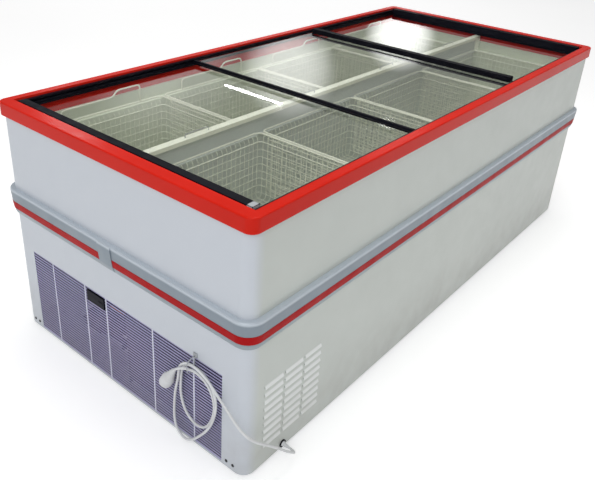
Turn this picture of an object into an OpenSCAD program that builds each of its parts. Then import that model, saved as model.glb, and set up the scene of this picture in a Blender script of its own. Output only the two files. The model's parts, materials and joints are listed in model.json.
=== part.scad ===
// Glass-topped island chest freezer with three sliding lids and a machine bay at one end.
// Millimetres. X runs along the cabinet, Y across it, Z up from the floor.

/* [Cabinet] */
// length over the top rim
body_l = 2100; // [1500:10:2600]
// width over the top rim
body_w = 980; // [800:10:1200]
// height of the rim above the floor
body_h = 770; // [650:10:950]
// height of the levelling feet under the cabinet
foot_h = 14; // [8:1:40]
// plan radius of the outer wrap corners
wrap_r = 35; // [20:1:60]
// thickness of the outer sheet
wrap_t = 1.2; // [0.8:0.1:2]
// insulation under the tank floor and behind the machine bay
foam_t = 50; // [30:1:80]

/* [Rim] */
// how far the rim stands out past the wrap
rim_over = 6; // [4:1:12]
// visible height of the rim's outer face
rim_face_h = 39; // [25:1:60]
// width of the rim's top along the long sides
rim_side_w = 28; // [20:1:45]
// width of the rim's top across the ends
rim_end_w = 38; // [25:1:60]
// wall of the rim profile
rim_t = 3; // [2:0.5:5]
// plan radius of the rim corners
rim_r = 26; // [14:1:45]
// rounding of the rim's upper outer edge
rim_edge_r = 4; // [2:0.5:8]
// depth of the rim's inner apron
apron_h = 70; // [45:1:100]
// length of a corner piece along each side
corner_l = 62; // [50:1:90]

/* [Tank] */
// sheet thickness of the tank
liner_t = 1.5; // [1:0.1:3]
// distance from the rim's top down to the basket ledge
ledge_drop = 109; // [90:1:140]
// side insulation between wrap and tank
side_foam = 52; // [35:1:70]
// width of the basket ledge
ledge_w = 25; // [18:1:35]
// thickness of the tank floor insulation
floor_foam = 60; // [40:1:90]
// evaporator tube diameter
evap_d = 8; // [6:0.5:12]
// number of evaporator turns round the tank
evap_n = 4; // [2:1:6]
// height step between evaporator turns
evap_pitch = 60; // [30:5:90]

/* [Machine bay] */
// inside length of the machine bay
bay_l = 300; // [260:5:420]
// room above the grille panel inside the machine bay
bay_room = 2; // [1:1:30]
// grille opening width
grille_w = 804; // [600:2:860]
// grille opening height
grille_h = 286; // [200:2:300]
// gap from the wrap's lower edge to the grille opening
grille_z = 7; // [4:1:30]
// thickness of the grille panel
grille_t = 2; // [1:0.5:4]
// spacing of the grille slots
slot_pitch = 9.6; // [8:0.1:16]
// height of a grille slot
slot_h = 5; // [3:0.5:8]
// width of a grille rib
rib_w = 5; // [3:0.5:10]
// side louvre width
louvre_w = 68; // [50:1:90]
// side louvre pitch along the cabinet
louvre_dx = 78; // [60:1:110]
// side louvre pitch up the cabinet
louvre_dz = 24.4; // [18:0.2:30]
// height of a louvre opening
louvre_h = 7; // [4:0.5:12]
// how far a louvre hood stands out
louvre_out = 4; // [2:0.5:6]
// louvre rows
louvre_rows = 9; // [4:1:10]

/* [Bumper] */
// height of the bumper's lower edge above the wrap's lower edge
bumper_z = 408; // [340:1:450]
// height of the bumper profile
bumper_h = 82; // [50:1:110]
// how far the bumper stands out
bumper_out = 15; // [8:1:25]
// height of the coloured insert
strip_h = 24; // [12:1:40]
// height of the insert above the bumper's lower edge
strip_z = 18; // [10:1:40]
// length of the bumper's joint cover
joint_l = 54; // [30:1:90]

/* [Lids] */
// glass thickness
glass_t = 4; // [3:0.5:6]
// how far neighbouring lids lap over each other
lid_lap = 29; // [20:1:60]
// gap between the outer lids' handles and the ends of the opening
lid_end_gap = 6; // [2:1:15]
// depth of the track profile behind the glass edge
track_w = 12; // [9:0.5:18]
// play of the glass in its track
lid_play = 0.4; // [0.3:0.1:1]
// depth of the lower glass below the rim's top
lower_drop = 25; // [22:0.5:30]
// depth of the upper glass below the rim's top
upper_drop = 12; // [10:0.5:16]
// width of a lid handle profile
handle_w = 24; // [16:1:34]
// width of a slim lid edge profile
edge_w = 8; // [5:0.5:14]
// how far the middle lid stands off centre
mid_shift = 12; // [0:1:30]

/* [Baskets] */
// gap between neighbouring baskets
basket_gap = 7; // [3:1:20]
// gap between the last basket and the tank's end
basket_end_gap = 8.3; // [4:0.1:20]
// depth of a basket below the ledge
basket_h = 210; // [120:5:280]
// wall of a basket
basket_t = 3; // [2:0.5:5]
// width of the basket's rim flange
basket_flange = 14; // [10:0.5:20]
// thickness of the centre divider
divider_t = 6; // [4:0.5:12]
// width of the divider's top rail
rail_w = 24; // [18:1:40]
// height of the divider's top rail
rail_h = 12; // [8:1:20]

/* [Condensing unit] */
// compressor shell radius
comp_r = 82; // [60:1:100]
// compressor shell height
comp_h = 150; // [110:5:200]
// fan radius
fan_r = 98; // [70:1:120]
// number of fan blades
fan_n = 5; // [3:1:8]
// condenser core thickness
cond_t = 44; // [25:1:60]
// condenser core height
cond_h = 236; // [180:2:270]
// condenser core width
cond_w = 300; // [240:5:380]
// refrigerant pipe diameter
pipe_d = 8; // [6:0.5:12]
// motor shaft radius
shaft_r = 4; // [3:0.5:6]
// running clearance of the fan hub on its shaft
shaft_play = 0.05; // [0.02:0.01:0.1]

/* [Controls and lead] */
// controller bezel width
ctrl_w = 76; // [60:1:90]
// controller bezel height
ctrl_h = 35; // [28:1:45]
// controller depth behind the grille
ctrl_d = 58; // [40:1:80]
// key width
key_w = 8; // [5:0.5:12]
// key height
key_h = 7; // [4:0.5:10]
// mains lead diameter
cord_d = 7; // [6:0.5:9]
// grommet hole radius
grommet_r = 8.5; // [7:0.5:11]
// coil thickness away from the cabinet
coil_t = 18; // [14:1:30]
// plug body radius
plug_r = 18; // [14:1:22]

/* [Hidden] */
fine = 64;
eps = 1;
gap = 0.3;
basket_cols = 4;
base_z = foot_h;
wrap_l = body_l - 2 * rim_over;
wrap_w = body_w - 2 * rim_over;
skin_l = wrap_l - 2 * wrap_t;
skin_w = wrap_w - 2 * wrap_t;
skin_r = wrap_r - wrap_t;
rim_low_z = body_h - rim_face_h;
wrap_top_z = body_h - rim_t - 14;
tray_t = 2;
foot_pad_r = 20;
foot_pad_h = 5;
foot_stem_r = 6;
foot_in_x = 110;
foot_in_y = 90;
tray_z = base_z + tray_t;

open_l = body_l - 2 * rim_end_w;
open_w = body_w - 2 * rim_side_w;
apron_z = body_h - apron_h;
ledge_z = body_h - ledge_drop;
tank_l = skin_l - 2 * (side_foam + liner_t) - 22;
tank_w = skin_w - 2 * (side_foam + liner_t);
upper_l = tank_l + 2 * ledge_w;
upper_w = tank_w + 2 * ledge_w;
tank_r = 12;
tank_floor = tray_z + floor_foam + liner_t;
bay_x = -skin_l / 2 + bay_l;
step_x = bay_x + foam_t + liner_t;
grille_x = -skin_l / 2;
grille_low = base_z + grille_z;
grille_lap = 8;
bay_top = grille_low + grille_h + grille_lap + bay_room;
step_z = bay_top + foam_t + liner_t;

bumper_mid = base_z + bumper_z + bumper_h / 2;
groove_d = 3;

cut_x = body_l / 2 - corner_l;
cut_y = body_w / 2 - corner_l;
evap_top = ledge_z - liner_t - 40;

basket_pitch = (tank_l - 2 * basket_end_gap) / basket_cols;
basket_l = basket_pitch - basket_gap;
basket_in = divider_t / 2 + 1;
basket_out = upper_w / 2 - 6;
basket_end_lip = 7;
basket_rim_h = 6;
bail_half = 150;
bail_d = 6;
bail_h = 47;

lid_l = (open_l - 2 * lid_end_gap + 2 * lid_lap) / 3;
half_lid = lid_l / 2;
lower_z = body_h - lower_drop - glass_t;
upper_z = body_h - upper_drop - glass_t;
track_in = open_w / 2 - track_w;
glass_half = open_w / 2 - 5;
track_low = lower_z - lid_play - 4;
sill_low = track_low - 8;
rail_z = sill_low - rail_h - 3;
track_high = upper_z + glass_t + lid_play + 5;
handle_half = track_in - 2;
left_lid_x = -open_l / 2 + lid_end_gap;
right_lid_x = open_l / 2 - lid_end_gap - lid_l;
mid_lid_x = mid_shift - half_lid;
grip_top = body_h - 1;
mid_grip_top = body_h + 3;
clamp_in = 10;
glass_inset = 3;

slot_low = 7;
rib_at = [-302, -146, 50, 146, 302];
louvre_x = -wrap_l / 2 + 98;
louvre_low = base_z + 62;
ctrl_y = 94;
ctrl_z = base_z + 268;
key_travel = 0.8;
key_y = [ctrl_y - 28, ctrl_y - 18];
key_out = 1.2;
bezel_t = 5;

fan_y = -150;
fan_z = tray_z + 130;
cond_x = -skin_l / 2 + 30;
shroud_t = 30;
shroud_x = cond_x + cond_t;
fan_x = shroud_x + 15;
hub_r = 22;
hub_h = 18;
blade_w = 48;
blade_turn = 22;
motor_x = fan_x + 30;
motor_r = 34;
motor_l = 52;
arm_x = motor_x + 16;
arm_y = 130;
arm_w = 12;
comp_x = bay_x - comp_r - 42;
comp_y = 230;
comp_rise = 24;
comp_z = tray_z + comp_rise;
dome_drop = 40;
dome_h = 70;
comp_foot_x = 62;
comp_foot_w = 24;
comp_foot_out = 22;
comp_mount_r = 9;
relay_w = 64;
relay_h = 58;

grommet_x = -896;
grommet_z = base_z + 12;
relief_l = 20;
relief_y = -wrap_w / 2 - 3;
coil_x = -wrap_l / 2 - 7;
coil_y = -318;
coil_z = base_z + 148;
coil_w = 152;
coil_h = 286;
coil_tilt = 10;
plug_x = coil_x - coil_t / 2 - 6;
plug_y = -256;
plug_z = base_z + 239;
plug_turn = 210;
plug_neck_l = 46;
plug_body_l = 30;
pin_gap = 19;
pin_r = 2.4;
pin_l = 19;
tie_y = -310;
tie_z = base_z + 300;

// way of the lead from the strain relief round the corner to the coil
cord_points = [
    [-896, -507, 26], [-896, -509, 26], [-896.2, -513, 26.2], [-897.3, -519, 27.3],
    [-900.6, -526.6, 30.6], [-906, -533, 36], [-915, -536.8, 45], [-928, -537, 57], [-944, -536, 72], [-961, -534, 90], [-980, -532, 110],
    [-1002, -530, 132], [-1024, -526, 152], [-1044, -518, 169], [-1057, -504, 183],
    [-1063, -486, 197], [-1065, -466, 213], [-1065, -444, 231], [-1065, -422, 248],
    [-1064, -402, 262], [-1062, -387, 270]
];
cord_sides = 8;

function unit(v) = v / norm(v);
function tangent(p, i) = unit(p[min(i + 1, len(p) - 1)] - p[max(i - 1, 0)]);
function side_of(t) = unit(cross(t, abs(t[2]) > 0.9 ? [1, 0, 0] : [0, 0, 1]));
function ring_at(p, i, r, n) =
    let (t = tangent(p, i), u = side_of(t), v = cross(u, t))
    [for (k = [0 : n - 1]) p[i] + r * cos(360 * k / n) * u + r * sin(360 * k / n) * v];
function flat(l) = [for (a = l) for (b = a) b];
function between(p, k, n) =
    let (i = floor(k / n), f = k / n - i, j = min(i + 1, len(p) - 1))
    let (a = p[max(i - 1, 0)], b = p[i], c = p[j], d = p[min(i + 2, len(p) - 1)])
    0.5 * (2 * b + (c - a) * f + (2 * a - 5 * b + 4 * c - d) * f * f
        + (3 * b - a - 3 * c + d) * f * f * f);
function smooth(p, n) = [for (k = [0 : (len(p) - 1) * n]) between(p, k, n)];

module tube(points, r, n) {
    m = len(points);
    verts = flat([for (i = [0 : m - 1]) ring_at(points, i, r, n)]);
    sides = [for (i = [0 : m - 2]) for (k = [0 : n - 1])
        [i * n + k, (i + 1) * n + k, (i + 1) * n + (k + 1) % n, i * n + (k + 1) % n]];
    first = [[for (k = [0 : n - 1]) k]];
    last = [[for (k = [n - 1 : -1 : 0]) (m - 1) * n + k]];
    polyhedron(points = verts, faces = concat(sides, first, last));
}

module round_rect(l, w, r) {
    square([l - 2 * r, w], center = true);
    square([l, w - 2 * r], center = true);
    for (i = [-1, 1]) {
        for (j = [-1, 1]) {
            translate([i * (l / 2 - r), j * (w / 2 - r)]) circle(r = r, $fn = fine);
        }
    }
}

module slab(l, w, r, z0, z1) {
    translate([0, 0, z0]) linear_extrude(height = z1 - z0) round_rect(l, w, r);
}

module block(x0, x1, y0, y1, z0, z1) {
    translate([x0, y0, z0]) cube([x1 - x0, y1 - y0, z1 - z0]);
}

// a profile run once round a rounded rectangle, outward distance along its first axis
module run_round(l, w, r) {
    for (s = [0, 1]) {
        rotate([0, 0, 180 * s]) {
            translate([l / 2, w / 2 - r, 0]) rotate([90, 0, 0])
                linear_extrude(height = w - 2 * r) children();
            translate([-l / 2 + r, w / 2, 0]) rotate([90, 0, 90])
                linear_extrude(height = l - 2 * r) children();
            translate([l / 2 - r, w / 2 - r, 0])
                rotate_extrude(angle = 90, $fn = fine) translate([r, 0]) children();
            translate([-l / 2 + r, w / 2 - r, 0]) rotate([0, 0, 90])
                rotate_extrude(angle = 90, $fn = fine) translate([r, 0]) children();
        }
    }
}

// ---- cabinet shell ----

module wrap_ring(z0, z1) {
    difference() {
        slab(wrap_l, wrap_w, wrap_r, z0, z1);
        slab(skin_l, skin_w, skin_r, z0 - eps, z1 + eps);
    }
}

module louvre_places() {
    for (i = [0 : 2]) {
        for (j = [0 : louvre_rows - 1]) {
            translate([louvre_x + i * louvre_dx, -wrap_w / 2, louvre_low + j * louvre_dz])
                children();
        }
    }
}

module hood_profile() {
    polygon([[wrap_t, louvre_h + 6], [0, louvre_h + 6], [-louvre_out, 1.5], [-louvre_out, 0],
        [-louvre_out + wrap_t, 0], [wrap_t, louvre_h + 3]]);
}

module outer_wrap_lower() {
    color("white") {
        difference() {
            wrap_ring(base_z, bumper_mid);
            block(-wrap_l / 2 - eps, -skin_l / 2 + eps, -grille_w / 2, grille_w / 2,
                grille_low, grille_low + grille_h);
            louvre_places() translate([-louvre_w / 2, -eps, 0]) cube([louvre_w, wrap_t + 2 * eps, louvre_h]);
            translate([grommet_x, -skin_w / 2 + eps, grommet_z]) rotate([90, 0, 0])
                cylinder(r = grommet_r, h = wrap_t + 2 * eps, $fn = fine);
        }
        louvre_places() translate([-louvre_w / 2, 0, 0]) rotate([90, 0, 90])
            linear_extrude(height = louvre_w) hood_profile();
    }
}

module outer_wrap_upper() {
    color("ghostwhite") wrap_ring(bumper_mid, wrap_top_z);
}

module base_tray() {
    color("silver") slab(skin_l, skin_w, skin_r, base_z, tray_z);
}

module foot(i) {
    sx = i % 2 == 0 ? -1 : 1;
    sy = i < 2 ? -1 : 1;
    color("dimgray") translate([sx * (wrap_l / 2 - foot_in_x), sy * (wrap_w / 2 - foot_in_y), 0]) {
        cylinder(r = foot_pad_r, h = foot_pad_h, $fn = fine);
        translate([0, 0, foot_pad_h - eps / 2])
            cylinder(r = foot_stem_r, h = base_z - foot_pad_h + eps / 2, $fn = fine);
    }
}

// ---- tank and insulation ----

module tank_space(grow) {
    g = grow;
    difference() {
        slab(tank_l + 2 * g, tank_w + 2 * g, tank_r + g, tank_floor - g, ledge_z + eps);
        block(-body_l, step_x - g, -body_w, body_w, 0, step_z - g);
    }
    slab(upper_l + 2 * g, upper_w + 2 * g, tank_r + g, ledge_z - g, apron_z + (g > 0 ? 0 : eps));
}

module rim_well(z0, z1) {
    block(-open_l / 2 - rim_t, open_l / 2 + rim_t, -open_w / 2 - rim_t, open_w / 2 + rim_t, z0, z1);
}

module liner() {
    color("honeydew") difference() {
        union() {
            tank_space(liner_t);
            rim_well(apron_z - liner_t, apron_z);
        }
        tank_space(0);
    }
}

module evap_loop(d) {
    half_l = tank_l + 2 * liner_t + d;
    half_w = tank_w + 2 * liner_t + d;
    run_round(half_l, half_w, tank_r + liner_t + d / 2) circle(d = d, $fn = fine);
}

module evaporator() {
    header_x = tank_l / 2 + liner_t + evap_d / 2;
    color("peru") {
        for (i = [0 : evap_n - 1]) {
            translate([0, 0, evap_top - i * evap_pitch]) evap_loop(evap_d);
        }
        translate([header_x, 0, evap_top - (evap_n - 1) * evap_pitch])
            cylinder(d = evap_d, h = (evap_n - 1) * evap_pitch, $fn = fine);
    }
}

module insulation() {
    chan = evap_d + gap;
    color("khaki") difference() {
        slab(skin_l, skin_w, skin_r, tray_z, wrap_top_z);
        tank_space(liner_t);
        rim_well(apron_z - liner_t, wrap_top_z + eps);
        block(-body_l, bay_x, -body_w, body_w, 0, bay_top);
        for (i = [0 : evap_n - 1]) {
            slab(tank_l + 2 * liner_t + 2 * chan, tank_w + 2 * liner_t + 2 * chan,
                tank_r + liner_t + chan, evap_top - i * evap_pitch - chan / 2,
                evap_top - i * evap_pitch + chan / 2);
        }
        block(tank_l / 2, tank_l / 2 + liner_t + chan, -chan / 2, chan / 2,
            evap_top - (evap_n - 1) * evap_pitch - chan / 2, evap_top + chan / 2);
    }
}

// ---- rim ----

module rounded_top_slab(l, w, r, e, z0, z1) {
    slab(l, w, r, z0, z1 - e);
    slab(l - 2 * e, w - 2 * e, r - e, z0, z1);
    translate([0, 0, z1 - e]) run_round(l - 2 * e, w - 2 * e, r - e) intersection() {
        circle(r = e, $fn = fine);
        square([e, e]);
    }
}

module rim_ring() {
    difference() {
        rounded_top_slab(body_l, body_w, rim_r, rim_edge_r, apron_z, body_h);
        block(-open_l / 2, open_l / 2, -open_w / 2, open_w / 2, apron_z - eps, body_h + eps);
        difference() {
            slab(wrap_l, wrap_w, wrap_r, apron_z - eps, body_h - rim_t);
            block(-open_l / 2 - rim_t, open_l / 2 + rim_t, -open_w / 2 - rim_t, open_w / 2 + rim_t,
                apron_z - 2 * eps, body_h + eps);
        }
        difference() {
            slab(body_l + 2 * eps, body_w + 2 * eps, rim_r, apron_z - eps, rim_low_z);
            slab(wrap_l - 2, wrap_w - 2, wrap_r, apron_z - 2 * eps, rim_low_z + eps);
        }
    }
}

module rim_piece(x0, x1, y0, y1) {
    color("red") intersection() {
        rim_ring();
        block(x0, x1, y0, y1, apron_z - 2 * eps, body_h + 2 * eps);
    }
}

module rim_front() { rim_piece(-cut_x, cut_x, -body_w, 0); }
module rim_back() { rim_piece(-cut_x, cut_x, 0, body_w); }
module rim_left() { rim_piece(-body_l, 0, -cut_y, cut_y); }
module rim_right() { rim_piece(0, body_l, -cut_y, cut_y); }

module rim_corner(i) {
    x0 = i % 2 == 0 ? -body_l : cut_x;
    y0 = i < 2 ? -body_w : cut_y;
    rim_piece(x0, x0 + body_l - cut_x, y0, y0 + body_w - cut_y);
}

// ---- bumper ----

module bumper_outline(grow) {
    w = bumper_out + grow;
    h = bumper_h;
    polygon([[0, 0], [w * 0.28, 0], [w * 0.5, h * 0.09], [w * 0.66, h * 0.22], [w * 0.78, h * 0.4],
        [w * 0.88, h * 0.6], [w * 0.97, h * 0.8], [w, h * 0.9], [w * 0.96, h * 0.97], [w * 0.84, h],
        [0, h]]);
}

module strip_groove() {
    difference() {
        translate([0, strip_z]) square([2 * bumper_out, strip_h]);
        bumper_outline(-groove_d);
    }
}

module bumper_profile() {
    color("lightslategray") translate([0, 0, base_z + bumper_z])
        run_round(wrap_l, wrap_w, wrap_r) difference() {
            bumper_outline(0);
            strip_groove();
        }
}

module joint_zone(grow) {
    block(-body_l, 0, -joint_l / 2 + 18 - grow, joint_l / 2 + 18 + grow, 0, body_h);
}

module bumper_insert() {
    color("firebrick") difference() {
        translate([0, 0, base_z + bumper_z]) run_round(wrap_l, wrap_w, wrap_r) intersection() {
            strip_groove();
            bumper_outline(0.8);
        }
        joint_zone(0);
    }
}

module bumper_joint() {
    color("slategray") intersection() {
        translate([0, 0, base_z + bumper_z]) run_round(wrap_l, wrap_w, wrap_r) difference() {
            bumper_outline(2.5);
            bumper_outline(0);
        }
        joint_zone(0);
    }
}

// ---- end grille and side lead outlet ----

module grille_sheet() {
    edges = concat([-grille_w / 2 - rib_w / 2], rib_at, [grille_w / 2 + rib_w / 2]);
    rows = floor((grille_h - slot_low - slot_h) / slot_pitch);
    difference() {
        translate([-grille_w / 2 - grille_lap, -grille_z + tray_t])
            square([grille_w + 2 * grille_lap, grille_h + grille_z + grille_lap - tray_t]);
        for (i = [0 : len(edges) - 2]) {
            for (j = [0 : rows]) {
                translate([edges[i] + rib_w / 2, slot_low + j * slot_pitch])
                    square([edges[i + 1] - edges[i] - rib_w, slot_h]);
            }
        }
    }
}

module grille_panel() {
    color("gainsboro") difference() {
        union() {
            translate([grille_x, 0, grille_low]) rotate([90, 0, 90])
                linear_extrude(height = grille_t) grille_sheet();
            for (y = rib_at) {
                block(grille_x - wrap_t, grille_x + grille_t / 2, y - rib_w / 2, y + rib_w / 2,
                    grille_low + gap, grille_low + grille_h - gap);
            }
        }
        block(grille_x - 3 * wrap_t, grille_x + grille_t + eps, ctrl_y - ctrl_w / 2 + 3,
            ctrl_y + ctrl_w / 2 - 3, ctrl_z - ctrl_h / 2 + 3, ctrl_z + ctrl_h / 2 - 3);
    }
}

module controller() {
    front = grille_x - bezel_t;
    color("black") difference() {
        union() {
            block(front, grille_x, ctrl_y - ctrl_w / 2, ctrl_y + ctrl_w / 2,
                ctrl_z - ctrl_h / 2, ctrl_z + ctrl_h / 2);
            block(grille_x - eps, grille_x + ctrl_d, ctrl_y - ctrl_w / 2 + 3, ctrl_y + ctrl_w / 2 - 3,
                ctrl_z - ctrl_h / 2 + 3, ctrl_z + ctrl_h / 2 - 3);
        }
        for (y = key_y) {
            block(front - eps, front + 3, y - key_w / 2 - gap, y + key_w / 2 + gap,
                ctrl_z - key_h / 2 - gap, ctrl_z + key_h / 2 + gap);
        }
    }
}

module key(y) {
    front = grille_x - bezel_t;
    color("gray") block(front - key_out, front + 3 - key_travel - gap, y - key_w / 2, y + key_w / 2,
        ctrl_z - key_h / 2, ctrl_z + key_h / 2);
}

module cable_grommet() {
    color("black") translate([grommet_x, 0, grommet_z]) rotate([90, 0, 0]) difference() {
        union() {
            translate([0, 0, skin_w / 2 - 2]) cylinder(r = grommet_r, h = wrap_t + 4, $fn = fine);
            translate([0, 0, wrap_w / 2]) cylinder(r = grommet_r + 3, h = 3, $fn = fine);
        }
        translate([0, 0, skin_w / 2 - 3]) cylinder(r = cord_d / 2 + 1, h = wrap_t + 10, $fn = fine);
    }
}

module strain_relief() {
    r = cord_d / 2 + 1;
    color("whitesmoke") translate([grommet_x, 0, grommet_z]) rotate([90, 0, 0]) {
        translate([0, 0, skin_w / 2 - 2]) cylinder(r = r, h = 3 + wrap_t + 2, $fn = fine);
        translate([0, 0, -relief_y]) cylinder(r1 = r + 2, r2 = r - 0.4, h = relief_l, $fn = fine);
    }
}

module cord_run() {
    color("white") tube(smooth(cord_points, 3), cord_d / 2, cord_sides);
}

module stadium(w, h) {
    square([w, h - w], center = true);
    for (s = [-1, 1]) {
        translate([0, s * (h / 2 - w / 2)]) circle(d = w, $fn = fine);
    }
}

module cord_coil() {
    color("white") translate([coil_x - coil_t, coil_y, coil_z]) rotate([coil_tilt, 0, 0])
        rotate([90, 0, 90]) linear_extrude(height = coil_t) stadium(coil_w, coil_h);
}

module plug() {
    body_end = plug_neck_l + plug_body_l;
    color("whitesmoke") translate([plug_x, plug_y, plug_z]) rotate([plug_turn, 0, 0]) {
        cylinder(r1 = cord_d, r2 = plug_r - 3, h = plug_neck_l, $fn = fine);
        translate([0, 0, plug_neck_l]) cylinder(r = plug_r, h = plug_body_l, $fn = fine);
        for (s = [-1, 1]) {
            translate([0, s * pin_gap / 2, body_end - eps]) cylinder(r = pin_r, h = pin_l + eps, $fn = fine);
        }
    }
}

module cord_tie() {
    front = coil_x - coil_t - 3;
    color("darkslategray") {
        block(front, -wrap_l / 2, tie_y - 3, tie_y + 3, tie_z, tie_z + 3);
        block(front, front + 2.7, tie_y - 3, tie_y + 3, tie_z - 24, tie_z + 3);
        block(-wrap_l / 2 - 3, -wrap_l / 2, tie_y - 7, tie_y + 7, tie_z - 2, tie_z + 10);
    }
}

// ---- condensing unit ----

module compressor() {
    color("#222222") translate([comp_x, comp_y, comp_z]) {
        cylinder(r = comp_r, h = comp_h - dome_drop, $fn = fine);
        translate([0, 0, comp_h - dome_drop]) intersection() {
            sphere(r = comp_r, $fn = fine);
            cylinder(r = comp_r, h = dome_h, $fn = fine);
        }
        for (i = [-1, 1]) {
            translate([i * comp_foot_x - comp_foot_w / 2, -comp_r - comp_foot_out, -4])
                cube([comp_foot_w, 2 * (comp_r + comp_foot_out), 5]);
            for (j = [-1, 1]) {
                translate([i * comp_foot_x, j * (comp_r + comp_foot_out - 10), -comp_rise])
                    cylinder(r = comp_mount_r, h = comp_rise - 2, $fn = fine);
            }
        }
        translate([-comp_r - 24, -relay_w / 2, 22]) cube([50, relay_w, relay_h]);
    }
}

module condenser() {
    z0 = fan_z - cond_h / 2;
    color("darkgray") {
        block(cond_x, cond_x + cond_t, fan_y - cond_w / 2, fan_y + cond_w / 2, z0 + 3, z0 + cond_h);
        for (s = [-1, 1]) {
            translate([cond_x - 3, fan_y + s * (cond_w / 2 + 1) - 2, tray_z])
                cube([cond_t + 3, 4, z0 + cond_h - tray_z]);
        }
    }
}

module fan_shroud() {
    z0 = fan_z - cond_h / 2;
    color("#444444") difference() {
        block(shroud_x, shroud_x + shroud_t, fan_y - cond_w / 2 - 3, fan_y + cond_w / 2 + 3,
            tray_z, z0 + cond_h);
        translate([shroud_x - eps, fan_y, fan_z]) rotate([0, 90, 0])
            cylinder(r = fan_r + 6, h = shroud_t + 2 * eps, $fn = fine);
    }
}

module fan_motor() {
    color("steelblue") {
        translate([motor_x, fan_y, fan_z]) rotate([0, 90, 0]) cylinder(r = motor_r, h = motor_l, $fn = fine);
        translate([fan_x - 10, fan_y, fan_z]) rotate([0, 90, 0]) cylinder(r = shaft_r, h = 45, $fn = fine);
        block(motor_x + 10, arm_x, fan_y - arm_y, fan_y + arm_y, fan_z - arm_w / 2, fan_z + arm_w / 2);
        for (s = [-1, 1]) {
            block(shroud_x + shroud_t, arm_x, fan_y + s * (arm_y - arm_w / 2) - arm_w / 2,
                fan_y + s * (arm_y - arm_w / 2) + arm_w / 2, fan_z - arm_w / 2, fan_z + arm_w / 2);
        }
    }
}

module fan_blades() {
    color("orange") translate([fan_x, fan_y, fan_z]) rotate([0, 90, 0]) difference() {
        union() {
            translate([0, 0, -hub_h / 2]) cylinder(r = hub_r, h = hub_h, $fn = fine);
            for (k = [0 : fan_n - 1]) {
                rotate([0, 0, 360 * k / fan_n]) translate([hub_r - 4, 0, 0]) rotate([blade_turn, 0, 0])
                    translate([0, -blade_w / 2, -1.5]) cube([fan_r - hub_r - 4, blade_w, 3]);
            }
        }
        translate([0, 0, -hub_h]) cylinder(r = shaft_r + shaft_play, h = 2 * hub_h, $fn = fine);
    }
}

module pipe_x(x0, x1, y, z) {
    translate([x0, y, z]) rotate([0, 90, 0]) cylinder(d = pipe_d, h = x1 - x0, $fn = fine);
}

module pipe_y(y0, y1, x, z) {
    translate([x, y0, z]) rotate([-90, 0, 0]) cylinder(d = pipe_d, h = y1 - y0, $fn = fine);
}

module pipe_z(z0, z1, x, y) {
    translate([x, y, z0]) cylinder(d = pipe_d, h = z1 - z0, $fn = fine);
}

module elbow(x, y, z) {
    translate([x, y, z]) sphere(d = pipe_d, $fn = fine);
}

module pipework() {
    head_z = bay_top - 20;
    side_y = fan_y + cond_w / 2 + 3;
    in_z = fan_z + cond_h / 2 - 30;
    tap_x = comp_x - 20;
    tap_y = comp_y - comp_r;
    tap_z = comp_z + 70;
    color("chocolate") {
        pipe_z(tap_z, head_z, tap_x, tap_y - 12);
        elbow(tap_x, tap_y - 12, tap_z);
        pipe_y(tap_y - 12, tap_y + 1, tap_x, tap_z);
        elbow(tap_x, tap_y - 12, head_z);
        pipe_x(cond_x + cond_t / 2, tap_x, tap_y - 12, head_z);
        elbow(cond_x + cond_t / 2, tap_y - 12, head_z);
        pipe_z(in_z, head_z, cond_x + cond_t / 2, tap_y - 12);
        elbow(cond_x + cond_t / 2, tap_y - 12, in_z);
        pipe_y(side_y, tap_y - 12, cond_x + cond_t / 2, in_z);
        pipe_x(tap_x, bay_x, tap_y - 12, head_z);
        translate([cond_x + cond_t / 2, side_y + 40, in_z]) rotate([-90, 0, 0])
            cylinder(d = 18, h = 70, $fn = fine);
    }
}

// ---- divider and baskets ----

module divider_panel() {
    edge = 2;
    color("whitesmoke") {
        difference() {
            block(-tank_l / 2 + edge, tank_l / 2 - edge, -divider_t / 2, divider_t / 2,
                tank_floor, rail_z);
            block(-body_l, step_x + edge, -body_w, body_w, 0, step_z);
        }
        block(-tank_l / 2 + edge, tank_l / 2 - edge, -divider_t / 2 - 10, divider_t / 2 + 10,
            ledge_z - 5, ledge_z);
    }
}

module divider_rail() {
    half = upper_l / 2 - 3;
    color("lemonchiffon") {
        block(-half, half, -rail_w / 2, rail_w / 2, rail_z, rail_z + rail_h);
        for (s = [-1, 1]) {
            translate([s * (half - 3) - 3, -rail_w / 2, ledge_z]) cube([6, rail_w, rail_z + 1 - ledge_z]);
        }
    }
}

module basket(i) {
    col = i % basket_cols;
    side = i < basket_cols ? -1 : 1;
    cx = (col - (basket_cols - 1) / 2) * basket_pitch;
    x0 = cx - basket_l / 2 + basket_end_lip;
    x1 = cx + basket_l / 2 - basket_end_lip;
    top = ledge_z + bail_h;
    y0 = basket_in + basket_flange;
    y1 = tank_w / 2 - 6;
    z0 = ledge_z - basket_h;
    color("snow") mirror([0, side < 0 ? 1 : 0, 0]) {
        difference() {
            union() {
                block(x0, x1, y0, y1, z0, ledge_z + basket_rim_h);
                block(cx - basket_l / 2, cx + basket_l / 2, basket_in, basket_out, ledge_z,
                    ledge_z + basket_rim_h);
            }
            block(x0 + basket_t, x1 - basket_t, y0 + basket_t, y1 - basket_t, z0 + basket_t,
                ledge_z + basket_rim_h + eps);
        }
        for (s = [-1, 1]) {
            block(cx + s * bail_half - bail_d / 2, cx + s * bail_half + bail_d / 2,
                basket_out - bail_d, basket_out, ledge_z + basket_rim_h - eps, top + bail_d - eps);
        }
        block(cx - bail_half - bail_d / 2, cx + bail_half + bail_d / 2, basket_out - bail_d, basket_out,
            top, top + bail_d);
    }
}

// ---- lids and tracks ----

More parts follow.
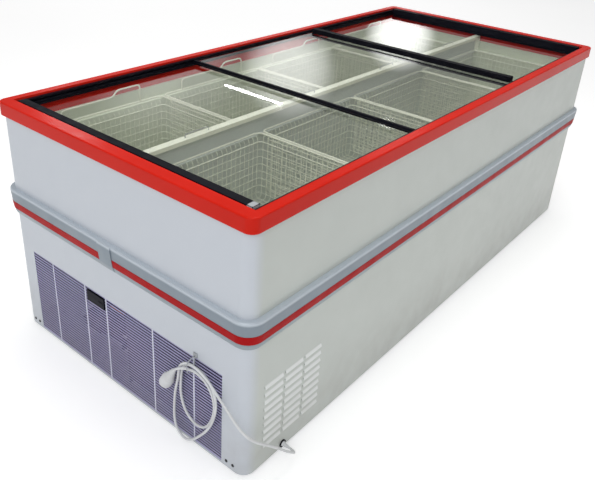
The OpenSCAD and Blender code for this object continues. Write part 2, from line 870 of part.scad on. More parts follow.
module track_outline() {
    g = lid_play;
    w = track_w;
    difference() {
        square([w, track_high - track_low]);
        translate([-eps, lower_z - g - track_low]) square([w - 2.5 + eps, glass_t + 2 * g]);
        translate([-eps, upper_z - g - track_low]) square([w - 2.5 + eps, glass_t + 2 * g]);
    }
}

module track(side) {
    color("#111111") mirror([0, side < 0 ? 1 : 0, 0])
        translate([-open_l / 2 + gap, track_in, track_low]) rotate([90, 0, 90])
            linear_extrude(height = open_l - 2 * gap) track_outline();
}

module sill(side) {
    x0 = open_l / 2 - 5;
    color("#222222") mirror([side < 0 ? 1 : 0, 0, 0]) {
        block(x0, open_l / 2, -track_in + gap, track_in - gap, sill_low, body_h - 8);
        block(x0 - 18, open_l / 2, -track_in + gap, track_in - gap, sill_low, sill_low + 5);
    }
}

module pane(x0, z0) {
    color("lightcyan", 0.4) block(x0 + glass_inset, x0 + lid_l - glass_inset, -glass_half, glass_half,
        z0, z0 + glass_t);
}

module lid_bar(x0, w, low, high, half, px, pz) {
    difference() {
        block(x0, x0 + w, -half, half, low, high);
        block(px + glass_inset, px + lid_l - glass_inset, -glass_half, glass_half, pz, pz + glass_t);
    }
}

module glass_left() { pane(left_lid_x, lower_z); }
module glass_middle() { pane(mid_lid_x, upper_z); }
module glass_right() { pane(right_lid_x, lower_z); }

module handle_left() {
    color("black") lid_bar(left_lid_x, handle_w, track_low + 2, grip_top, handle_half, left_lid_x, lower_z);
}

module handle_middle() {
    color("black") lid_bar(mid_lid_x + lid_l - handle_w, handle_w, upper_z - 3, mid_grip_top,
        handle_half - 10, mid_lid_x, upper_z);
}

module handle_right() {
    color("black") lid_bar(right_lid_x + lid_l - handle_w, handle_w, track_low + 2, grip_top,
        handle_half, right_lid_x, lower_z);
}

module edge_left() {
    color("dimgray") lid_bar(left_lid_x + lid_l - edge_w, edge_w, lower_z - 2, lower_z + glass_t + 2,
        handle_half, left_lid_x, lower_z);
}

module edge_middle() {
    color("dimgray") lid_bar(mid_lid_x, edge_w, upper_z - 2, upper_z + glass_t + 2,
        handle_half, mid_lid_x, upper_z);
}

module edge_right() {
    color("dimgray") lid_bar(right_lid_x, edge_w, lower_z - 2, lower_z + glass_t + 2,
        handle_half, right_lid_x, lower_z);
}

outer_wrap_lower();
outer_wrap_upper();
base_tray();
for (i = [0 : 3]) foot(i);
liner();
evaporator();
insulation();
rim_front();
rim_back();
rim_left();
rim_right();
for (i = [0 : 3]) rim_corner(i);
bumper_profile();
bumper_insert();
bumper_joint();
grille_panel();
controller();
for (i = [0 : 1]) key(key_y[i]);
cable_grommet();
strain_relief();
cord_run();
cord_coil();
plug();
cord_tie();
compressor();
condenser();
fan_shroud();
fan_motor();
fan_blades();
pipework();
divider_panel();
divider_rail();
for (i = [0 : 2 * basket_cols - 1]) basket(i);
track(-1);  // track_front
track(1);  // track_back
sill(-1);  // sill_left
sill(1);  // sill_right
glass_left();
glass_middle();
glass_right();
handle_left();
handle_middle();
handle_right();
edge_left();
edge_middle();
edge_right();
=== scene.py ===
import json
import math

import bpy
from mathutils import Matrix, Vector


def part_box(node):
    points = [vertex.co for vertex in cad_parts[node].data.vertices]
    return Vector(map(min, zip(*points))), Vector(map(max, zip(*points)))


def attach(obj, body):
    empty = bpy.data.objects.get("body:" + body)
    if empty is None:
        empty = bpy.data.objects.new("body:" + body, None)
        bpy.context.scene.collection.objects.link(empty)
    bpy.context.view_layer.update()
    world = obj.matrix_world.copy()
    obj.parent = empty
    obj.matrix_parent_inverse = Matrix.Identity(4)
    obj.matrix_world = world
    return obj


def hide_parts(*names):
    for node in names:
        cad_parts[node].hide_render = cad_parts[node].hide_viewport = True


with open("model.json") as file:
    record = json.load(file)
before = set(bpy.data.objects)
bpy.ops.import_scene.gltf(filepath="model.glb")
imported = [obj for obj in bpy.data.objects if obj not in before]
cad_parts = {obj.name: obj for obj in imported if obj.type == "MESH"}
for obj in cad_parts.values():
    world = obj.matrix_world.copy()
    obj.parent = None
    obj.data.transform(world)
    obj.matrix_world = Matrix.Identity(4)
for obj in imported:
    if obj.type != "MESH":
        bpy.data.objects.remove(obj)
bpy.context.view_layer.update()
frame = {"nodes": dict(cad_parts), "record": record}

NODES = frame["nodes"]
SLOT_OF = {s["node"]: s["material_slot"] for s in frame["record"]["subparts"]}
SCENE = bpy.context.scene
SCENE.view_settings.view_transform = "Standard"


# ---- camera ----

def make_camera():
    data = bpy.data.cameras.new("camera")
    data.sensor_width = 36
    data.lens = 41.669
    data.shift_x = 0.0109
    data.shift_y = -0.0808
    data.clip_start = 0.05
    data.clip_end = 200
    camera = bpy.data.objects.new("camera", data)
    camera.location = (-1.9645, -1.2975, 1.4554)
    camera.rotation_euler = [math.radians(a) for a in (63.203, -3.112, -50.407)]
    SCENE.collection.objects.link(camera)
    SCENE.camera = camera


# ---- shader graphs ----

class Graph:
    """A material's node tree, with short calls for the nodes that it needs."""

    def __init__(self, name):
        self.material = bpy.data.materials.new(name)
        self.material.use_nodes = True
        self.tree = self.material.node_tree
        self.tree.nodes.clear()
        self.output = self.add("ShaderNodeOutputMaterial")
        self.place = self.add("ShaderNodeTexCoord").outputs["Object"]
        axes = self.add("ShaderNodeSeparateXYZ")
        self.link(self.place, axes.inputs[0])
        self.axes = axes.outputs

    def add(self, kind, **settings):
        node = self.tree.nodes.new(kind)
        for key, value in settings.items():
            setattr(node, key, value)
        return node

    def link(self, source, target):
        self.tree.links.new(source, target)

    def feed(self, target, value):
        if isinstance(value, bpy.types.NodeSocket):
            self.link(value, target)
        else:
            target.default_value = value

    def math(self, operation, a, b=0.0):
        node = self.add("ShaderNodeMath", operation=operation)
        self.feed(node.inputs[0], a)
        self.feed(node.inputs[1], b)
        return node.outputs[0]

    def noise(self, scale, detail=3.0, stretch=None):
        node = self.add("ShaderNodeTexNoise")
        node.inputs["Scale"].default_value = scale
        node.inputs["Detail"].default_value = detail
        place = self.place
        if stretch:
            mapping = self.add("ShaderNodeMapping")
            mapping.inputs["Scale"].default_value = stretch
            self.link(place, mapping.inputs["Vector"])
            place = mapping.outputs[0]
        self.link(place, node.inputs["Vector"])
        return node.outputs["Fac"]

    def spread(self, value, low, high, start=0.3, end=0.7):
        node = self.add("ShaderNodeMapRange")
        self.feed(node.inputs["Value"], value)
        for key, number in (("From Min", start), ("From Max", end), ("To Min", low), ("To Max", high)):
            node.inputs[key].default_value = number
        return node.outputs[0]

    def mix(self, factor, a, b):
        node = self.add("ShaderNodeMix", data_type="RGBA")
        self.feed(node.inputs["Factor"], factor)
        self.feed(node.inputs["A"], a if isinstance(a, bpy.types.NodeSocket) else (*a, 1))
        self.feed(node.inputs["B"], b if isinstance(b, bpy.types.NodeSocket) else (*b, 1))
        return node.outputs["Result"]

    def inside(self, axis, low, high):
        """1 where the place along an axis lies between two values."""
        above = self.math("GREATER_THAN", self.axes[axis], low)
        return self.math("MULTIPLY", above, self.math("LESS_THAN", self.axes[axis], high))

    def bump(self, height, distance, strength=1.0, under=None):
        node = self.add("ShaderNodeBump")
        node.inputs["Strength"].default_value = strength
        node.inputs["Distance"].default_value = distance
        self.link(height, node.inputs["Height"])
        if under is not None:
            self.link(under, node.inputs["Normal"])
        return node.outputs["Normal"]


def shade(c, factor):
    return tuple(min(v * factor, 1) for v in c)


def surface(name, colour, rough=0.45, metal=0.0, specular=0.5, coat=0.0, vary=0.05, patch=5.0, grain=350.0,
            grain_depth=0.00004, stretch=None, bottom_darkening=0.0, paint=None):
    """A surface with patchy colour, uneven gloss, a fine grain in its normals and a darker, browner tone in noisy
    patches towards the bottom.
    paint changes the colour by place: it takes the graph and the colour so far."""
    g = Graph(name)
    patches = g.noise(patch, 4.0)
    base = g.mix(g.spread(patches, 0, 1), shade(colour, 1 - vary), shade(colour, 1 + vary))
    fine = g.noise(grain, 2.0, stretch)
    base = g.mix(g.spread(fine, 0, 0.2), base, shade(colour, 1 - vary))
    if paint:
        base = paint(g, base)
    # darker and browner towards the bottom, in noisy patches
    if bottom_darkening:
        low = g.math("MULTIPLY", g.spread(g.axes[2], bottom_darkening, 0, 0.01, 0.22), g.spread(g.noise(18, 5.0), 0.3, 1))
        base = g.mix(low, base, (0.30, 0.28, 0.25))
    shader = g.add("ShaderNodeBsdfPrincipled")
    g.link(base, shader.inputs["Base Color"])
    shader.inputs["Metallic"].default_value = metal
    shader.inputs["Specular IOR Level"].default_value = specular
    shader.inputs["Coat Weight"].default_value = coat
    shader.inputs["Coat Roughness"].default_value = 0.08
    g.link(g.spread(g.noise(22, 4.0), rough * 0.82, min(rough * 1.25, 1)), shader.inputs["Roughness"])
    soft = g.bump(g.noise(4, 1.0), 0.0006, 0.4)
    g.link(g.bump(fine, grain_depth, 0.4, soft), shader.inputs["Normal"])
    g.link(shader.outputs[0], g.output.inputs["Surface"])
    return g.material


def glass_surface(name, tint):
    """Clear glass that lamps and scattered light pass straight through."""
    g = Graph(name)
    shader = g.add("ShaderNodeBsdfPrincipled")
    shader.inputs["Transmission Weight"].default_value = 1
    shader.inputs["IOR"].default_value = 1.45
    smear = g.noise(3.5, 5.0, (1, 4, 1))
    g.link(g.mix(g.spread(smear, 0, 1), tint, shade(tint, 0.985)), shader.inputs["Base Color"])
    g.link(g.spread(smear, 0.0, 0.035, 0.45, 0.75), shader.inputs["Roughness"])
    g.link(g.bump(g.noise(2.2, 1.0), 0.0006, 0.25), shader.inputs["Normal"])
    clear = g.add("ShaderNodeBsdfTransparent")
    clear.inputs["Color"].default_value = (*tint, 1)
    path = g.add("ShaderNodeLightPath")
    mixer = g.add("ShaderNodeMixShader")
    g.link(g.math("MAXIMUM", path.outputs["Is Shadow Ray"], path.outputs["Is Diffuse Ray"]), mixer.inputs[0])
    g.link(shader.outputs[0], mixer.inputs[1])
    g.link(clear.outputs[0], mixer.inputs[2])
    g.link(mixer.outputs[0], g.output.inputs["Surface"])
    return g.material


def grille_paint(g, base):
    """White ribs stand in front of lavender slats; the slot edges and recesses behind the slat faces get painted
    shade, near-black.
    """
    # painted shade in the slots: faces lying behind the slat front are darkened
    cut = g.spread(g.axes[0], 0, 1, -1.0427, -1.0420)
    base = g.mix(cut, base, (0.03, 0.025, 0.07))
    rib = g.math("LESS_THAN", g.axes[0], -1.0431)
    return g.mix(rib, base, (0.66, 0.67, 0.78))


def foam_paint(g, base):
    """The machine bay's sheet faces get painted shade, near-black; the foam shows nowhere else."""
    # painted shade over the machine bay behind the grille
    bay = g.math("LESS_THAN", g.axes[0], -0.735)
    return g.mix(bay, base, (0.018, 0.016, 0.035))


def fin_paint(g, base):
    """Painted shade in the gaps between thin upright fins."""
    # painted shade: a sine across the fins darkens the gaps
    fin_gap_shade_wave = g.math("SINE", g.math("MULTIPLY", g.axes[1], 2100))
    return g.mix(g.spread(fin_gap_shade_wave, 0, 0.85, -0.2, 0.9), base, (0.03, 0.03, 0.035))


def wrap_paint(g, base):
    """The end sheet gets a painted cooler cast of light that the long sides don't, and the louvre hoods get a
    painted highlight.
    """
    # painted cooler cast of light on the end sheet
    end = g.spread(g.axes[0], 1, 0, -1.03, -1.0)
    base = g.mix(g.math("MULTIPLY", end, 0.6), base, (0.60, 0.635, 0.745))
    # painted highlight on the louvre hoods
    painted_hood_highlight = g.math("MULTIPLY", g.inside(0, -0.985, -0.750), g.spread(g.axes[1], 1, 0, -0.4860, -0.4842))
    return g.mix(painted_hood_highlight, base, (0.84, 0.86, 0.85))


def trim_paint(g, base):
    """The bumper's top edge and its lip under the strip get painted highlights, lighter colour where they catch more
    light.
    """
    # painted highlight along the top edge
    top = g.spread(g.axes[2], 0, 0.75, 0.4935, 0.4990)
    base = g.mix(top, base, (0.62, 0.68, 0.74))
    # painted highlight on the lip under the strip
    return g.mix(g.spread(g.axes[2], 0.45, 0, 0.432, 0.440), base, (0.40, 0.45, 0.47))


def make_surfaces():
    return {
        "white_paint": surface("white_paint", (0.585, 0.62, 0.585), 0.36, vary=0.02, grain=35,
                               grain_depth=0.000006, bottom_darkening=0.35, paint=wrap_paint),
        "tank_sheet": surface("tank_sheet", (0.66, 0.70, 0.57), 0.42, vary=0.05, grain=300),
        "foam": surface("foam", (0.62, 0.55, 0.34), 0.9, vary=0.10, grain=500, grain_depth=0.0004,
                        paint=foam_paint),
        "copper": surface("copper", (0.62, 0.28, 0.14), 0.36, metal=1, vary=0.15, patch=30),
        "red_rim": surface("red_rim", (0.64, 0.016, 0.007), 0.21, specular=0.09, vary=0.04, grain=500,
                           grain_depth=0.00001),
        "grey_trim": surface("grey_trim", (0.22, 0.265, 0.31), 0.36, metal=0.1, vary=0.04, grain=60,
                             grain_depth=0.00001, paint=trim_paint),
        "red_strip": surface("red_strip", (0.42, 0.006, 0.008), 0.40, specular=0.06, vary=0.07, grain=300),
        "grille_paint": surface("grille_paint", (0.36, 0.34, 0.56), 0.42, vary=0.06, grain=300, bottom_darkening=0.25,
                                paint=grille_paint),
        "black_plastic": surface("black_plastic", (0.006, 0.006, 0.011), 0.45, specular=0.10, vary=0.25, grain=700,
                                 grain_depth=0.00008),
        "grey_plastic": surface("grey_plastic", (0.42, 0.44, 0.46), 0.5, vary=0.06, grain=600),
        "lead_white": surface("lead_white", (0.70, 0.71, 0.72), 0.42, vary=0.05, patch=40, grain=900),
        "black_steel": surface("black_steel", (0.018, 0.018, 0.020), 0.38, specular=0.4, vary=0.2, grain=400),
        "core_alu": surface("core_alu", (0.10, 0.10, 0.13), 0.5, metal=0.3, vary=0.1, grain=400, paint=fin_paint),
        "galvanised": surface("galvanised", (0.50, 0.52, 0.54), 0.38, metal=0.85, vary=0.14, patch=60, grain=300),
        "basket_white": surface("basket_white", (0.84, 0.85, 0.72), 0.35, vary=0.04, patch=30, grain=500),
        "rail_cream": surface("rail_cream", (0.90, 0.91, 0.76), 0.40, vary=0.03, grain=400),
        "lid_glass": glass_surface("lid_glass", (0.985, 0.997, 0.988)),
        "rubber_foot": surface("rubber_foot", (0.02, 0.02, 0.02), 0.7, specular=0.3, vary=0.2, grain=500,
                               grain_depth=0.0001),
    }


# ---- pieces ----

def add_object(name, data, finish, body, replaced=()):
    piece = bpy.data.objects.new(name, data)
    SCENE.collection.objects.link(piece)
    data.materials.append(finish)
    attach(piece, body)
    if replaced:
        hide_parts(*replaced)
    return piece


def rounded(points, radius, steps=4, closed=False):
    """The path with each corner turned in a short arc."""
    points = [Vector(p) for p in points]
    count = len(points)
    out = []
    for i, p in enumerate(points):
        if not closed and i in (0, count - 1):
            out.append(p)
            continue
        before = points[i - 1] - p
        after = points[(i + 1) % count] - p
        cut = min(radius, before.length * 0.49, after.length * 0.49)
        a = p + before.normalized() * cut
        b = p + after.normalized() * cut
        for k in range(steps + 1):
            t = k / steps
            out.append(a * (1 - t) ** 2 + p * 2 * t * (1 - t) + b * t ** 2)
    return out


class Shape:
    """Vertices and faces of one mesh, made from swept and turned forms."""

    def __init__(self):
        self.verts = []
        self.faces = []

    def rings(self, rings, closed=False):
        start = len(self.verts)
        sides = len(rings[0])
        for ring in rings:
            self.verts += [tuple(v) for v in ring]
        count = len(rings)
        for i in range(count if closed else count - 1):
            a = start + i * sides
            b = start + (i + 1) % count * sides
            for k in range(sides):
                n = (k + 1) % sides
                self.faces.append((a + k, a + n, b + n, b + k))
        if not closed:
            self.faces.append(tuple(start + k for k in reversed(range(sides))))
            self.faces.append(tuple(start + (count - 1) * sides + k for k in range(sides)))

    def wire(self, points, radius, sides=6, closed=False, wide=1.0):
        """A round wire, or a strap where wide is over 1."""
        points = [Vector(p) for p in points]
        count = len(points)
        side = None
        rings = []
        for i, p in enumerate(points):
            if closed:
                along = points[(i + 1) % count] - points[i - 1]
            else:
                along = points[min(i + 1, count - 1)] - points[max(i - 1, 0)]
            along.normalize()
            if side is None:
                side = Vector((0, 1, 0)) if wide > 1 else along.orthogonal()
            side = (side - along * side.dot(along)).normalized()
            up = along.cross(side)
            rings.append([
                p + side * math.cos(math.tau * k / sides) * radius * wide
                + up * math.sin(math.tau * k / sides) * radius
                for k in range(sides)
            ])
        self.rings(rings, closed)

    def turned(self, profile, matrix, sides=32):
        """A form turned about local Z from (height, radius) pairs."""
        self.rings([
            [matrix @ Vector((math.cos(math.tau * k / sides) * r, math.sin(math.tau * k / sides) * r, h))
             for k in range(sides)]
            for h, r in profile
        ])

    def slab(self, low, high, edge):
        """A block with chamfered edges, as rings from the bottom to the top."""
        levels = ((low[2], edge), (low[2] + edge, 0), (high[2] - edge, 0), (high[2], edge))
        rings = []
        for z, inset in levels:
            x0, x1, y0, y1 = low[0] + inset, high[0] - inset, low[1] + inset, high[1] - inset
            rings.append([
                (x0 + edge, y0, z), (x1 - edge, y0, z), (x1, y0 + edge, z), (x1, y1 - edge, z),
                (x1 - edge, y1, z), (x0 + edge, y1, z), (x0, y1 - edge, z), (x0, y0 + edge, z),
            ])
        self.rings(rings)

    def mesh(self, name, smooth=True):
        mesh = bpy.data.meshes.new(name)
        mesh.from_pydata(self.verts, [], self.faces)
        mesh.validate()
        if smooth:
            mesh.polygons.foreach_set("use_smooth", [len(f.vertices) == 4 for f in mesh.polygons])
        mesh.update()
        return mesh


# ---- mains lead ----

LEAD_D = 0.007
LEAD_EXIT = (-0.896, -0.507, 0.026)
WALL_FACE = -0.4845
CLIP_Y = -0.310
# the route out of the foot of the long side and round the corner, as in the CAD part
LEAD_RUN = (
    (-0.896, -0.507, 0.026), (-0.896, -0.509, 0.026), (-0.8962, -0.513, 0.0262), (-0.8973, -0.519, 0.0273),
    (-0.9006, -0.5266, 0.0306), (-0.906, -0.533, 0.036), (-0.915, -0.5368, 0.045), (-0.928, -0.537, 0.057),
    (-0.944, -0.536, 0.072), (-0.961, -0.534, 0.090), (-0.980, -0.532, 0.110), (-1.002, -0.530, 0.132),
    (-1.024, -0.526, 0.152),
    (-1.044, -0.518, 0.169), (-1.057, -0.504, 0.183), (-1.063, -0.486, 0.197), (-1.065, -0.466, 0.213),
    (-1.065, -0.444, 0.231), (-1.065, -0.422, 0.248), (-1.064, -0.402, 0.262), (-1.062, -0.387, 0.270),
)
# two and a half turns hung on the clip, the last over the others to the plug
LEAD_COIL = (
    (-1.0620, -0.366, 0.284), (-1.0620, -0.341, 0.294), (-1.0620, -0.313, 0.297), (-1.0625, -0.288, 0.289),
    (-1.0625, -0.271, 0.269), (-1.0615, -0.265, 0.245), (-1.0600, -0.260, 0.220), (-1.0590, -0.253, 0.194),
    (-1.0580, -0.246, 0.164), (-1.0575, -0.242, 0.130), (-1.0575, -0.240, 0.098), (-1.0575, -0.241, 0.068),
    (-1.0575, -0.248, 0.043), (-1.0580, -0.265, 0.0275), (-1.0590, -0.287, 0.0265), (-1.0600, -0.309, 0.041),
    (-1.0610, -0.336, 0.072), (-1.0615, -0.362, 0.108), (-1.0615, -0.382, 0.146), (-1.0615, -0.394, 0.184),
    (-1.0600, -0.397, 0.218), (-1.0580, -0.389, 0.248), (-1.0560, -0.371, 0.271), (-1.0545, -0.346, 0.285),
    (-1.0545, -0.317, 0.288), (-1.0545, -0.291, 0.281), (-1.0545, -0.274, 0.263), (-1.0540, -0.267, 0.238),
    (-1.0535, -0.264, 0.210), (-1.0535, -0.263, 0.182), (-1.0535, -0.266, 0.155), (-1.0535, -0.275, 0.130),
    (-1.0535, -0.291, 0.110), (-1.0535, -0.313, 0.099), (-1.0535, -0.337, 0.101), (-1.0535, -0.357, 0.116),
    (-1.0535, -0.371, 0.140), (-1.0535, -0.381, 0.169), (-1.0535, -0.385, 0.199), (-1.0540, -0.381, 0.226),
    (-1.0545, -0.370, 0.249), (-1.0555, -0.353, 0.266), (-1.0575, -0.334, 0.276), (-1.0610, -0.314, 0.280),
    (-1.0660, -0.295, 0.278), (-1.0695, -0.278, 0.271), (-1.0690, -0.266, 0.2615), (-1.0665, -0.2575, 0.2515),
    (-1.0660, -0.2525, 0.2465),
)
PLUG_START = (-1.066, -0.256, 0.253)
PLUG_TURN = 210
PIN_GAP = 0.019


def smooth_line(points, steps):
    """A smooth curve through every point."""
    points = [Vector(p) for p in points]
    last = len(points) - 1
    line = []
    for i in range(last):
        p0, p1, p2, p3 = (points[min(max(i + k, 0), last)] for k in (-1, 0, 1, 2))
        for s in range(steps):
            t = s / steps
            line.append(0.5 * (2 * p1 + (p2 - p0) * t + (2 * p0 - 5 * p1 + 4 * p2 - p3) * t ** 2
                               + (3 * p1 - p0 - 3 * p2 + p3) * t ** 3))
    return line + [points[-1]]


def make_lead(finishes):
    line = smooth_line(LEAD_RUN + LEAD_COIL, 5)
    curve = bpy.data.curves.new("mains_lead", "CURVE")
    curve.dimensions = "3D"
    spline = curve.splines.new("POLY")
    spline.points.add(len(line) - 1)
    for point, place in zip(spline.points, line):
        point.co = (*place, 1)
    curve.bevel_depth = LEAD_D / 2
    curve.bevel_resolution = 4
    curve.use_fill_caps = True
    lead = add_object("mains_lead", curve, finishes["lead_white"], "cabinet",
                      ("cord_run", "cord_coil"))

    turn = Matrix.Translation(PLUG_START) @ Matrix.Rotation(math.radians(PLUG_TURN), 4, "X")
    body = Shape()
    boot = [(0.004, 0.0042)]
    for i in range(7):
        h = 0.006 + i * 0.0055
        r = 0.0056 + i * 0.0013
        boot += [(h, r - 0.0004), (h + 0.0006, r), (h + 0.0034, r + 0.0005), (h + 0.0040, r - 0.0005)]
    boot += [(0.0455, 0.0142), (0.048, 0.0164), (0.051, 0.0176), (0.055, 0.0180), (0.060, 0.0176), (0.066, 0.0176),
             (0.070, 0.0180), (0.0745, 0.0180), (0.0758, 0.0172), (0.0760, 0.0160)]
    body.turned(boot, turn, 48)
    plug = add_object("plug_body", body.mesh("plug_body"), finishes["lead_white"], "cabinet",
                      ("plug",))
    metal = Shape()
    for side in (-1, 1):
        pin = turn @ Matrix.Translation((0, side * PIN_GAP / 2, 0))
        metal.turned([(0.0755, 0.0024), (0.0925, 0.0024), (0.0942, 0.0019), (0.0950, 0.0010)], pin, 20)
    pins = add_object("plug_pins", metal.mesh("plug_pins"), finishes["galvanised"], "cabinet")

    relief = Shape()
    out = Matrix.Translation((LEAD_EXIT[0], WALL_FACE, LEAD_EXIT[2])) @ Matrix.Rotation(math.pi / 2, 4, "X")
    profile = [(0.0, 0.0090), (0.0022, 0.0090), (0.0026, 0.0068)]
    for i in range(4):
        h = 0.0034 + i * 0.0045
        r = 0.0065 - i * 0.0006
        profile += [(h, r), (h + 0.0027, r - 0.0001), (h + 0.0031, r - 0.0009), (h + 0.0041, r - 0.0009)]
    profile += [(0.0222, 0.0042), (0.0228, 0.0037)]
    relief.turned(profile, out, 32)
    add_object("relief_boot", relief.mesh("relief_boot"), finishes["lead_white"], "cabinet",
               ("strain_relief",))

    clip = Shape()
    strap = [(-1.0465, 0.3150), (-1.0600, 0.3140), (-1.0735, 0.3070), (-1.0750, 0.2920), (-1.0715, 0.2745),
             (-1.0610, 0.2705), (-1.0500, 0.2730), (-1.0482, 0.2900), (-1.0482, 0.3040), (-1.0462, 0.3110)]
    clip.wire(rounded([(x, CLIP_Y, z) for x, z in strap], 0.008, 3), 0.0006, 10, wide=3)
    clip.slab((-1.0468, -0.317, 0.3095), (-1.0440, -0.303, 0.3240), 0.0008)
    clip.turned([(0.0, 0.0028), (0.0010, 0.0027), (0.0016, 0.0018), (0.0017, 0.0008)],
                Matrix.Translation((-1.0466, CLIP_Y, 0.3205)) @ Matrix.Rotation(-math.pi / 2, 4, "Y"), 16)
    add_object("lead_clip", clip.mesh("lead_clip"), finishes["grey_plastic"], "cabinet",
               ("cord_tie",))


# ---- baskets ----

RIM_WIRE = 0.0028
MESH_WIRE = 0.0009
BAIL_WIRE = 0.0026
NEAR_SIDE = 0.004
FAR_SIDE = 0.4483
RIM_UP = 0.213
LONG_WIRES = 24
CROSS_WIRES = 21
HOOP_WIRES = 8


def make_basket(index, finish):
    name = f"basket_{index}"
    low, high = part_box(name)
    side = -1 if index < 4 else 1
    cx = (low[0] + high[0]) / 2
    half = (high[0] - low[0]) / 2
    rim_z = low[2] + RIM_UP

    def at(u, v, z):
        return (cx + u, side * v, z)

    shape = Shape()
    u_rim, v0, v1 = half - RIM_WIRE, NEAR_SIDE + RIM_WIRE, FAR_SIDE - RIM_WIRE
    rim = [at(-u_rim, v0, rim_z), at(u_rim, v0, rim_z), at(u_rim, v1, rim_z), at(-u_rim, v1, rim_z)]
    shape.wire(rounded(rim, 0.022, 5, True), RIM_WIRE, 8, True)
    wall, in0, in1 = half - 0.0085, NEAR_SIDE + 0.0155, FAR_SIDE - 0.0265
    floor_z = low[2] + MESH_WIRE
    neck_z = rim_z - 0.011
    lay = 2 * MESH_WIRE
    for i in range(LONG_WIRES):
        u = (i / (LONG_WIRES - 1) - 0.5) * 2 * (wall - 0.012)
        path = [at(u, v0, rim_z - 0.001), at(u, in0, neck_z), at(u, in0, floor_z), at(u, in1, floor_z),
                at(u, in1, neck_z), at(u, v1, rim_z - 0.001)]
        shape.wire(rounded(path, 0.012, 2), MESH_WIRE, 5)
    for i in range(CROSS_WIRES):
        v = in0 + 0.012 + (in1 - in0 - 0.024) * i / (CROSS_WIRES - 1)
        path = [at(-u_rim, v, rim_z - 0.001), at(-wall, v, neck_z), at(-wall, v, floor_z + lay),
                at(wall, v, floor_z + lay), at(wall, v, neck_z), at(u_rim, v, rim_z - 0.001)]
        shape.wire(rounded(path, 0.012, 2), MESH_WIRE, 5)
    for i in range(HOOP_WIRES):
        z = floor_z + 0.018 + i * 0.0245
        loop = [at(-wall + lay, in0 + lay, z), at(wall - lay, in0 + lay, z), at(wall - lay, in1 - lay, z),
                at(-wall + lay, in1 - lay, z)]
        shape.wire(rounded(loop, 0.014, 3, True), MESH_WIRE * (1.7 if i == HOOP_WIRES - 1 else 1), 5, True)
    bail_v = v1 - 0.001
    low_z, high_z = rim_z + 0.038, rim_z + 0.058
    bail = [at(-0.150, bail_v, rim_z), at(-0.150, bail_v, low_z), at(0.040, bail_v, low_z),
            at(0.058, bail_v, high_z), at(0.150, bail_v, high_z), at(0.150, bail_v, rim_z)]
    shape.wire(rounded(bail, 0.014, 4), BAIL_WIRE, 8)
    add_object(f"wire_{name}", shape.mesh(f"wire_{name}"), finish, "cabinet", (name,))


# ---- small pieces ----

def make_small_pieces(finishes):
    screws = Shape()
    for y in (-0.443, -0.420, 0.420, 0.443):
        place = Matrix.Translation((-1.0438, y, 0.034)) @ Matrix.Rotation(-math.pi / 2, 4, "Y")
        screws.turned([(0.0, 0.0046), (0.0008, 0.0046), (0.0019, 0.0038), (0.0024, 0.0024), (0.0025, 0.0012),
                       (0.0016, 0.0009)], place, 20)
    add_object("foot_screws", screws.mesh("foot_screws"), finishes["black_steel"], "cabinet")

    cap = Shape()
    cap.slab((-1.0066, -0.4484, 0.7400), (-0.9814, -0.4290, 0.7696), 0.0022)
    add_object("handle_cap", cap.mesh("handle_cap", False), finishes["grey_plastic"], "lid_left")

    loops = Shape()
    for i in range(4):
        cx = (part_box(f"basket_{i}")[0][0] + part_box(f"basket_{i}")[1][0]) / 2 - 0.014
        path = [(cx - 0.044, 0, 0.7240), (cx - 0.044, 0, 0.7362), (cx + 0.044, 0, 0.7362), (cx + 0.044, 0, 0.7240)]
        loops.wire(rounded(path, 0.007, 4), 0.0014, 8)
    add_object("rail_loops", loops.mesh("rail_loops"), finishes["galvanised"], "cabinet")


# ---- studio ----

def make_floor():
    mesh = bpy.data.meshes.new("floor")
    size = 60
    mesh.from_pydata([(-size, -size, 0), (size, -size, 0), (size, size, 0), (-size, size, 0)], [], [(0, 1, 2, 3)])
    floor = bpy.data.objects.new("floor", mesh)
    SCENE.collection.objects.link(floor)
    g = Graph("floor")
    tint = g.mix(g.spread(g.noise(0.7, 3.0), 0, 1), (0.88, 0.88, 0.88), (0.90, 0.90, 0.90))
    matte = g.add("ShaderNodeBsdfDiffuse")
    g.link(tint, matte.inputs["Color"])
    glow = g.add("ShaderNodeEmission")
    path = g.add("ShaderNodeLightPath")
    seen = g.math("MAXIMUM", path.outputs["Is Camera Ray"],
                  g.math("MAXIMUM", path.outputs["Is Glossy Ray"], path.outputs["Is Transmission Ray"]))
    g.link(g.math("MULTIPLY", seen, 0.36), glow.inputs["Strength"])
    both = g.add("ShaderNodeAddShader")
    g.link(matte.outputs[0], both.inputs[0])
    g.link(glow.outputs[0], both.inputs[1])
    g.link(both.outputs[0], g.output.inputs["Surface"])
    mesh.materials.append(g.material)


# the world's strength as a light
DIMMED = 0.62
# soft bright windows met in reflections: azimuth, elevation, inner and outer radius in degrees, strength
WINDOWS = ((38.8, 16.9, 0.3, 4.2, 1.6), (29.8, 13.4, 0.2, 3.0, 2.6), (50.0, 15.0, 1.0, 8.0, 0.5))


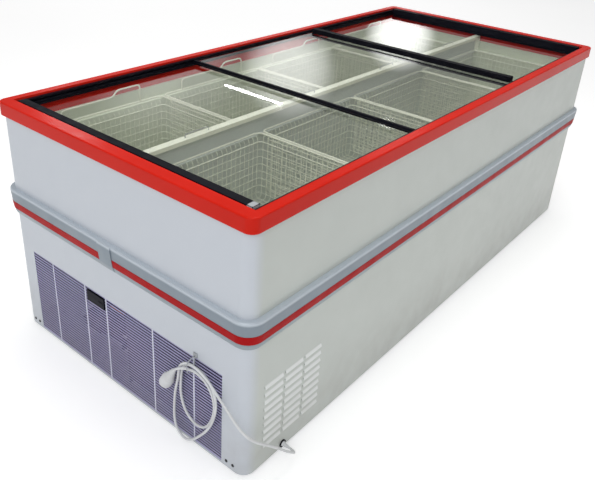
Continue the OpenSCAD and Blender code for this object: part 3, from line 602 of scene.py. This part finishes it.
def make_world():
    """White where it is seen, dimmer as a light, and with a grey ceiling in reflections."""
    world = bpy.data.worlds.new("studio")
    SCENE.world = world
    world.use_nodes = True
    tree = world.node_tree
    tree.nodes.clear()

    def add(kind, **settings):
        node = tree.nodes.new(kind)
        for key, value in settings.items():
            setattr(node, key, value)
        return node

    path = add("ShaderNodeLightPath")
    coord = add("ShaderNodeTexCoord")
    axes = add("ShaderNodeSeparateXYZ")
    tree.links.new(coord.outputs["Generated"], axes.inputs[0])
    ceiling = add("ShaderNodeMapRange")
    tree.links.new(axes.outputs[2], ceiling.inputs["Value"])
    for key, number in (("From Min", 0.04), ("From Max", 0.20), ("To Min", 1.0), ("To Max", 0.20)):
        ceiling.inputs[key].default_value = number
    reflected = ceiling.outputs[0]
    for azimuth, elevation, inner, outer, glow in WINDOWS:
        a, e = math.radians(azimuth), math.radians(elevation)
        toward = add("ShaderNodeVectorMath", operation="DOT_PRODUCT")
        tree.links.new(coord.outputs["Generated"], toward.inputs[0])
        toward.inputs[1].default_value = (math.cos(a) * math.cos(e), math.sin(a) * math.cos(e), math.sin(e))
        patch = add("ShaderNodeMapRange", interpolation_type="SMOOTHSTEP")
        tree.links.new(toward.outputs["Value"], patch.inputs["Value"])
        for key, number in (("From Min", math.cos(math.radians(outer))), ("From Max", math.cos(math.radians(inner))),
                            ("To Min", 0.0), ("To Max", glow)):
            patch.inputs[key].default_value = number
        total = add("ShaderNodeMath", operation="ADD")
        tree.links.new(reflected, total.inputs[0])
        tree.links.new(patch.outputs[0], total.inputs[1])
        reflected = total.outputs[0]
    clear = add("ShaderNodeMath", operation="MAXIMUM")
    tree.links.new(path.outputs["Is Camera Ray"], clear.inputs[0])
    tree.links.new(path.outputs["Is Transmission Ray"], clear.inputs[1])
    first = add("ShaderNodeMix", data_type="FLOAT")
    first.inputs["A"].default_value = DIMMED
    first.inputs["B"].default_value = 1.0
    tree.links.new(clear.outputs[0], first.inputs["Factor"])
    second = add("ShaderNodeMix", data_type="FLOAT")
    tree.links.new(path.outputs["Is Glossy Ray"], second.inputs["Factor"])
    tree.links.new(first.outputs[0], second.inputs["A"])
    tree.links.new(reflected, second.inputs["B"])
    back = add("ShaderNodeBackground")
    tree.links.new(second.outputs[0], back.inputs["Strength"])
    out = add("ShaderNodeOutputWorld")
    tree.links.new(back.outputs[0], out.inputs["Surface"])


def make_lamp(name, place, target, size, power, colour=(1, 1, 1)):
    data = bpy.data.lights.new(name, "AREA")
    data.shape = "RECTANGLE"
    data.size, data.size_y = size
    data.energy = power
    data.color = colour
    lamp = bpy.data.objects.new(name, data)
    lamp.location = place
    lamp.rotation_euler = (Vector(target) - Vector(place)).to_track_quat("-Z", "Y").to_euler()
    lamp.visible_camera = False
    SCENE.collection.objects.link(lamp)


def make_lights():
    make_lamp("key", (-5.0, -2.2, 4.6), (-0.5, 0, 0.4), (3.6, 3.6), 135, (0.96, 0.98, 1.0))
    for i, (x, y, length) in enumerate(((4.5, 4.5, 1.0), (4.9, 2.75, 1.1), (2.0, 4.9, 0.8))):
        make_lamp(f"tube_{i}", (x, y, 3.0), (x, y, 0), (0.06, length), 7)
    make_lamp("overhead", (0, 0, 3.4), (0, 0, 0.7), (2.6, 1.4), 40, (1.0, 0.99, 0.96))


# ---- build ----

make_camera()
FINISHES = make_surfaces()
for node_name, node in NODES.items():
    for node_slot in node.material_slots:
        node_slot.material = FINISHES[SLOT_OF[node_name]]
make_lead(FINISHES)
for basket_index in range(8):
    make_basket(basket_index, FINISHES["basket_white"])
make_small_pieces(FINISHES)
make_floor()
make_world()
make_lights()
